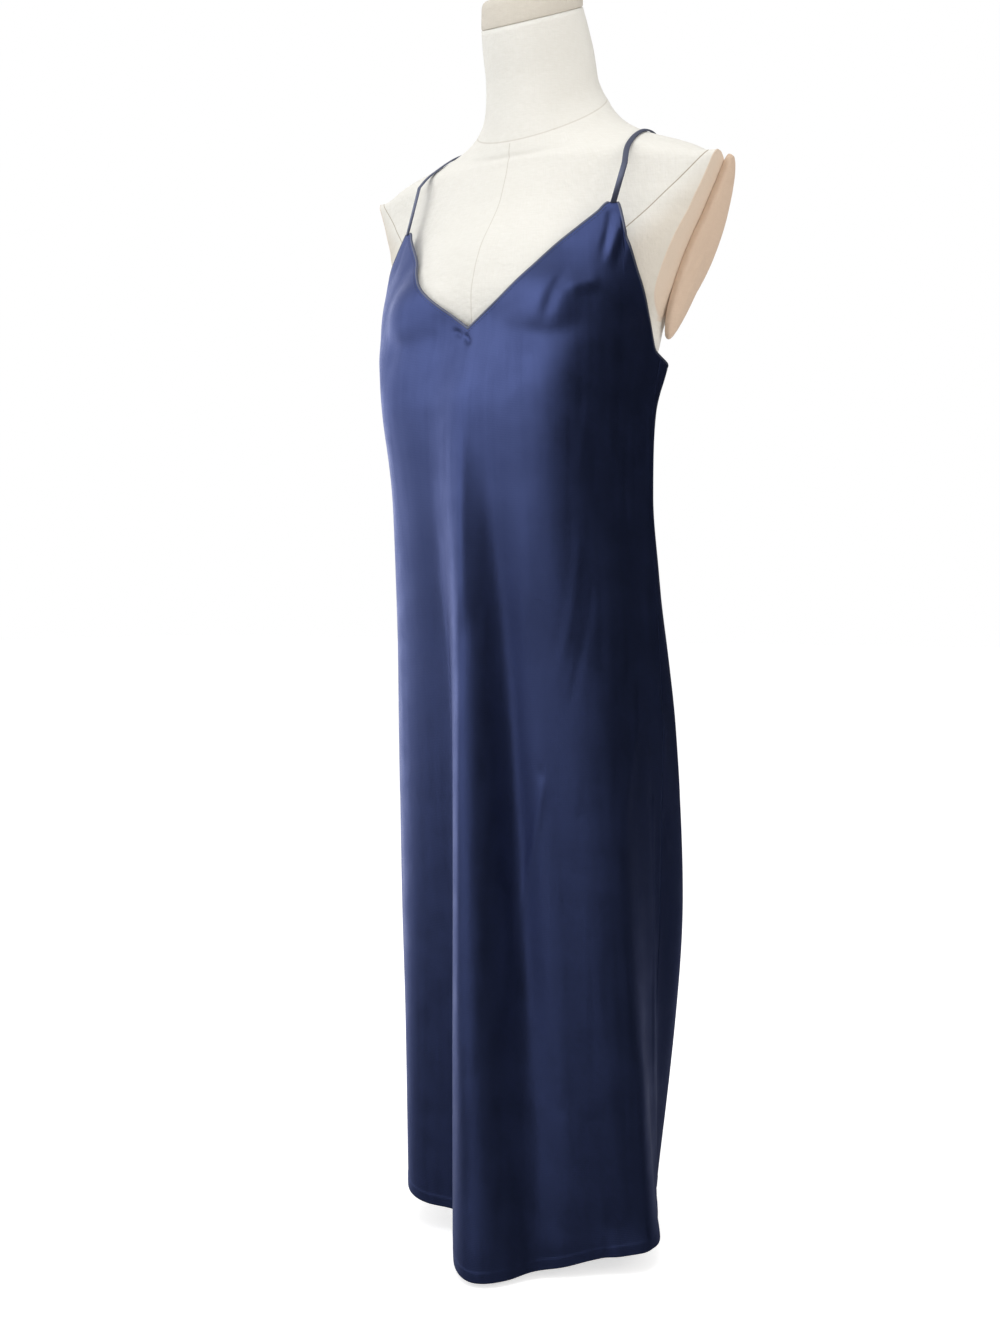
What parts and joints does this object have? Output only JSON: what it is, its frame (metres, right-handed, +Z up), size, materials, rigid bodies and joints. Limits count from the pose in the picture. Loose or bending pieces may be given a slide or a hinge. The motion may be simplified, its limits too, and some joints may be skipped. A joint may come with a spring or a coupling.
{
  "type": "slip dress on a dress form",
  "caption": "Midi slip dress with a V neck and thin straps, hanging on a limbless dress form with a hidden round-footed stand.",
  "frame": {"origin": "middle of the underside of the stand's base plate", "axes": "+Z up, the dress faces -Y, +X is its left side as worn"},
  "size_m": [0.4, 0.3339, 1.2334],
  "materials": {
    "navy_satin": "soft satin sheen",
    "strap_satin": "soft satin sheen",
    "cream_linen": "matt fine weave",
    "painted_steel": "satin paint"
  },
  "bodies": {
    "root": {"front_panel": "navy_satin", "back_panel": "navy_satin", "strap_left": "strap_satin", "strap_right": "strap_satin", "form_torso": "cream_linen", "form_neck_cap": "cream_linen", "form_arm_plate_left": "cream_linen", "form_arm_plate_right": "cream_linen", "stand_base": "painted_steel", "stand_pole": "painted_steel"}
  },
  "joints": []
}
